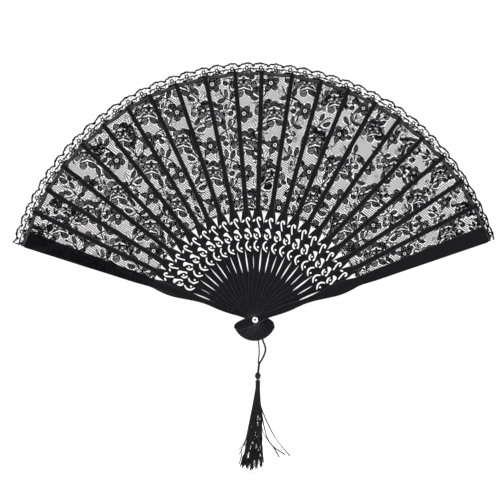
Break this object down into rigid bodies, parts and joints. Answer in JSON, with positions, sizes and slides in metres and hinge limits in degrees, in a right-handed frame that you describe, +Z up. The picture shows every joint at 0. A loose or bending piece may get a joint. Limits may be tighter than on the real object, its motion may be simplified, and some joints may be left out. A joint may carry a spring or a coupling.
{
  "type": "folding hand fan",
  "caption": "Folding hand fan with pierced sticks on a rivet, an openwork lace leaf with a scalloped edging, broad end guards and a tassel on a cord loop.",
  "frame": {"origin": "the middle of the rivet's flat rear end, on the axis the sticks turn about", "axes": "the open fan stands in the XZ plane: +Z up the middle of the open leaf, +X towards the front guard's side, +Y out of the back, so the rivet's axis lies along Y and the front guard faces -Y"},
  "size_m": [0.3768, 0.0376, 0.3232],
  "materials": {
    "guard_wood": "black-dyed bamboo with a satin lacquer and a faint straight grain",
    "rib_wood": "black-dyed bamboo, satin, pierced edges slightly duller",
    "lace": "black polyester lace, matte with a slight thread sheen",
    "rivet_metal": "bright polished steel",
    "silk": "black rayon floss, soft sheen along the strands"
  },
  "bodies": {
    "rear_guard": {"rear_guard": "guard_wood", "leaf_panel_01": "lace", "rivet": "rivet_metal", "rear_washer": "rivet_metal"},
    "rib_01": {"rib_01": "rib_wood", "leaf_panel_02": "lace"},
    "rib_02": {"rib_02": "rib_wood", "leaf_panel_03": "lace"},
    "rib_03": {"rib_03": "rib_wood", "leaf_panel_04": "lace"},
    "rib_04": {"rib_04": "rib_wood", "leaf_panel_05": "lace"},
    "rib_05": {"rib_05": "rib_wood", "leaf_panel_06": "lace"},
    "rib_06": {"rib_06": "rib_wood", "leaf_panel_07": "lace"},
    "rib_07": {"rib_07": "rib_wood", "leaf_panel_08": "lace"},
    "rib_08": {"rib_08": "rib_wood", "leaf_panel_09": "lace"},
    "rib_09": {"rib_09": "rib_wood", "leaf_panel_10": "lace"},
    "rib_10": {"rib_10": "rib_wood", "leaf_panel_11": "lace"},
    "rib_11": {"rib_11": "rib_wood", "leaf_panel_12": "lace"},
    "rib_12": {"rib_12": "rib_wood", "leaf_panel_13": "lace"},
    "rib_13": {"rib_13": "rib_wood", "leaf_panel_14": "lace"},
    "rib_14": {"rib_14": "rib_wood", "leaf_panel_15": "lace"},
    "rib_15": {"rib_15": "rib_wood", "leaf_panel_16": "lace"},
    "rib_16": {"rib_16": "rib_wood", "leaf_panel_17": "lace"},
    "rib_17": {"rib_17": "rib_wood", "leaf_panel_18": "lace"},
    "rib_18": {"rib_18": "rib_wood", "leaf_panel_19": "lace"},
    "rib_19": {"rib_19": "rib_wood", "leaf_panel_20": "lace"},
    "rib_20": {"rib_20": "rib_wood", "leaf_panel_21": "lace"},
    "front_guard": {"front_guard": "guard_wood"},
    "cord": {"cord_loop": "silk", "twisted_cord": "silk"},
    "knot": {"tassel_knot": "silk"},
    "tassel": {"tassel_binding": "silk", "tassel_skirt": "silk"}
  },
  "joints": [
    {"name": "fold_01", "type": "hinge", "parent": "rear_guard", "child": "rib_01", "pos_m": [0, -0.01595, 0], "axis": [0, -1, 0], "range_deg": [0, 6.7]},
    {"name": "fold_02", "type": "hinge", "parent": "rib_01", "child": "rib_02", "pos_m": [0, -0.01595, 0], "axis": [0, -1, 0], "range_deg": [0, 6.06]},
    {"name": "fold_03", "type": "hinge", "parent": "rib_02", "child": "rib_03", "pos_m": [0, -0.01595, 0], "axis": [0, -1, 0], "range_deg": [0, 6.66]},
    {"name": "fold_04", "type": "hinge", "parent": "rib_03", "child": "rib_04", "pos_m": [0, -0.01595, 0], "axis": [0, -1, 0], "range_deg": [0, 6.76]},
    {"name": "fold_05", "type": "hinge", "parent": "rib_04", "child": "rib_05", "pos_m": [0, -0.01595, 0], "axis": [0, -1, 0], "range_deg": [0, 6.76]},
    {"name": "fold_06", "type": "hinge", "parent": "rib_05", "child": "rib_06", "pos_m": [0, -0.01595, 0], "axis": [0, -1, 0], "range_deg": [0, 6.86]},
    {"name": "fold_07", "type": "hinge", "parent": "rib_06", "child": "rib_07", "pos_m": [0, -0.01595, 0], "axis": [0, -1, 0], "range_deg": [0, 5.96]},
    {"name": "fold_08", "type": "hinge", "parent": "rib_07", "child": "rib_08", "pos_m": [0, -0.01595, 0], "axis": [0, -1, 0], "range_deg": [0, 6.66]},
    {"name": "fold_09", "type": "hinge", "parent": "rib_08", "child": "rib_09", "pos_m": [0, -0.01595, 0], "axis": [0, -1, 0], "range_deg": [0, 6.91]},
    {"name": "fold_10", "type": "hinge", "parent": "rib_09", "child": "rib_10", "pos_m": [0, -0.01595, 0], "axis": [0, -1, 0], "range_deg": [0, 7.01]},
    {"name": "fold_11", "type": "hinge", "parent": "rib_10", "child": "rib_11", "pos_m": [0, -0.01595, 0], "axis": [0, -1, 0], "range_deg": [0, 6.21]},
    {"name": "fold_12", "type": "hinge", "parent": "rib_11", "child": "rib_12", "pos_m": [0, -0.01595, 0], "axis": [0, -1, 0], "range_deg": [0, 7.11]},
    {"name": "fold_13", "type": "hinge", "parent": "rib_12", "child": "rib_13", "pos_m": [0, -0.01595, 0], "axis": [0, -1, 0], "range_deg": [0, 6.96]},
    {"name": "fold_14", "type": "hinge", "parent": "rib_13", "child": "rib_14", "pos_m": [0, -0.01595, 0], "axis": [0, -1, 0], "range_deg": [0, 6.56]},
    {"name": "fold_15", "type": "hinge", "parent": "rib_14", "child": "rib_15", "pos_m": [0, -0.01595, 0], "axis": [0, -1, 0], "range_deg": [0, 6.86]},
    {"name": "fold_16", "type": "hinge", "parent": "rib_15", "child": "rib_16", "pos_m": [0, -0.01595, 0], "axis": [0, -1, 0], "range_deg": [0, 6.81]},
    {"name": "fold_17", "type": "hinge", "parent": "rib_16", "child": "rib_17", "pos_m": [0, -0.01595, 0], "axis": [0, -1, 0], "range_deg": [0, 6.91]},
    {"name": "fold_18", "type": "hinge", "parent": "rib_17", "child": "rib_18", "pos_m": [0, -0.01595, 0], "axis": [0, -1, 0], "range_deg": [0, 6.46]},
    {"name": "fold_19", "type": "hinge", "parent": "rib_18", "child": "rib_19", "pos_m": [0, -0.01595, 0], "axis": [0, -1, 0], "range_deg": [0, 7.11]},
    {"name": "fold_20", "type": "hinge", "parent": "rib_19", "child": "rib_20", "pos_m": [0, -0.01595, 0], "axis": [0, -1, 0], "range_deg": [0, 6.51]},
    {"name": "fold_21", "type": "hinge", "parent": "rib_20", "child": "front_guard", "pos_m": [0, -0.01595, 0], "axis": [0, -1, 0], "range_deg": [0, 6.91]},
    {"name": "cord_swing", "type": "hinge", "parent": "rear_guard", "child": "cord", "pos_m": [0, -0.0019, 0], "axis": [0, -1, 0], "range_deg": [-60, 60]},
    {"name": "knot_swing", "type": "hinge", "parent": "cord", "child": "knot", "pos_m": [0.0023, -0.0019, -0.0436], "axis": [0, -1, 0], "range_deg": [-30, 30]},
    {"name": "tassel_tilt", "type": "hinge", "parent": "knot", "child": "tassel", "pos_m": [0.0023, -0.0019, -0.04905], "axis": [1, 0, 0], "range_deg": [-25, 25]}
  ],
  "couplings": [
    {"joint": "fold_02", "follows": "fold_01", "ratio": 0.90299},
    {"joint": "fold_03", "follows": "fold_01", "ratio": 0.99254},
    {"joint": "fold_04", "follows": "fold_01", "ratio": 1.0075},
    {"joint": "fold_05", "follows": "fold_01", "ratio": 1.0075},
    {"joint": "fold_06", "follows": "fold_01", "ratio": 1.0224},
    {"joint": "fold_07", "follows": "fold_01", "ratio": 0.88806},
    {"joint": "fold_08", "follows": "fold_01", "ratio": 0.99254},
    {"joint": "fold_09", "follows": "fold_01", "ratio": 1.0298},
    {"joint": "fold_10", "follows": "fold_01", "ratio": 1.0448},
    {"joint": "fold_11", "follows": "fold_01", "ratio": 0.92537},
    {"joint": "fold_12", "follows": "fold_01", "ratio": 1.0597},
    {"joint": "fold_13", "follows": "fold_01", "ratio": 1.0373},
    {"joint": "fold_14", "follows": "fold_01", "ratio": 0.97761},
    {"joint": "fold_15", "follows": "fold_01", "ratio": 1.0224},
    {"joint": "fold_16", "follows": "fold_01", "ratio": 1.0149},
    {"joint": "fold_17", "follows": "fold_01", "ratio": 1.0298},
    {"joint": "fold_18", "follows": "fold_01", "ratio": 0.96269},
    {"joint": "fold_19", "follows": "fold_01", "ratio": 1.0597},
    {"joint": "fold_20", "follows": "fold_01", "ratio": 0.97015},
    {"joint": "fold_21", "follows": "fold_01", "ratio": 1.0298}
  ]
}
